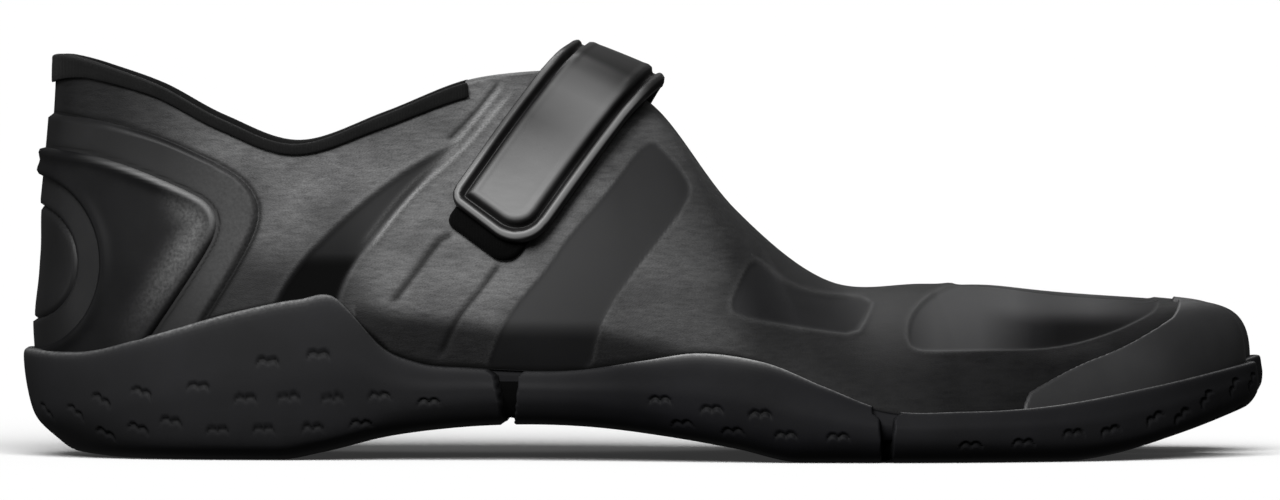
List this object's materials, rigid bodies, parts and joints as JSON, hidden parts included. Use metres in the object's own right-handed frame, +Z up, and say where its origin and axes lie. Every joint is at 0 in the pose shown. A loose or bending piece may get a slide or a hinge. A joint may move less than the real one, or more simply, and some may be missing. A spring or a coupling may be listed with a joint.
{
  "type": "split-toe sneaker",
  "caption": "Low black split-toe sneaker: stretch upper with two toe pockets, waved rubber cup sole with scooped tread marks and flex grooves, heel counter and instep strap.",
  "frame": {"origin": "on the floor, under the middle of the shoe's bounding box", "axes": "+X to the toe, +Y to the inner (big toe) side, +Z up"},
  "size_m": [0.2848, 0.102, 0.0953],
  "materials": {
    "knit": "brushed stretch fabric",
    "rubber": "satin moulded rubber",
    "foam": "matt covered foam",
    "tape": "matt woven tape",
    "film": "soft moulded overlay",
    "moulded": "semi-gloss moulded rubber"
  },
  "bodies": {
    "root": {"upper": "knit", "outsole": "rubber", "insole": "foam", "collar_binding": "tape", "counter_base": "film", "counter_top": "film", "heel_disc": "film", "toe_cap_small": "film", "toe_cap_big": "film", "strap": "moulded", "hook_tape": "tape"}
  },
  "joints": []
}
